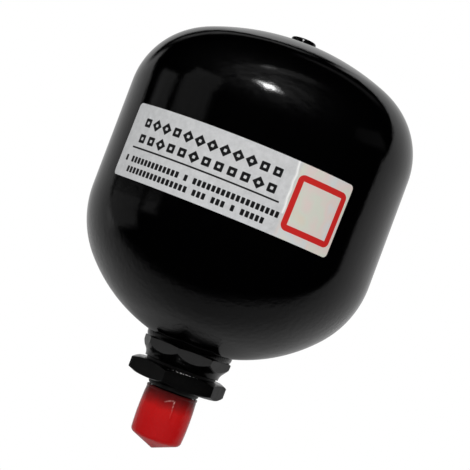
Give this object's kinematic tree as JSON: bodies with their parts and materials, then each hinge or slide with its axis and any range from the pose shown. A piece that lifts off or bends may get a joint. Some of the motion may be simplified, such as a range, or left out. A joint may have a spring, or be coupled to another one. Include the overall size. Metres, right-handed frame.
{
  "type": "diaphragm accumulator",
  "caption": "Round black pressed-steel pressure vessel with a rubber diaphragm inside, a hexagonal screwed port under a red push-on cap, a gas plug on top and a silver label.",
  "frame": {"origin": "on the vessel's axis, in the sealing face under the adapter's hexagon", "axes": "+Z along the axis from the port towards the gas plug; -Y towards the middle of the pictured side, +X to its right"},
  "size_m": [0.105, 0.1051, 0.1557],
  "materials": {
    "black_paint": "gloss",
    "bare_steel": "turned",
    "black_rubber": "satin",
    "red_vinyl": "gloss",
    "seal_metal": "matt",
    "silver_film": "satin"
  },
  "bodies": {
    "housing": {"upper_shell": "black_paint", "lower_shell": "black_paint", "girth_weld": "black_paint", "clamp_ring": "bare_steel", "diaphragm": "black_rubber", "port_boss": "black_paint", "boss_weld": "black_paint", "port_adapter": "black_paint", "adapter_seal": "black_rubber", "port_seal_ring": "black_rubber", "protective_cap": "red_vinyl", "gas_plug": "black_paint", "gas_plug_seal": "seal_metal", "gas_insert": "bare_steel", "insert_weld": "bare_steel", "label": "silver_film"},
    "button": {"valve_button": "bare_steel"}
  },
  "joints": [
    {"name": "diaphragm_stroke", "type": "slide", "parent": "housing", "child": "button", "axis": [0, 0, 1], "range_m": [0, 0.036], "deforming": ["diaphragm"]}
  ]
}
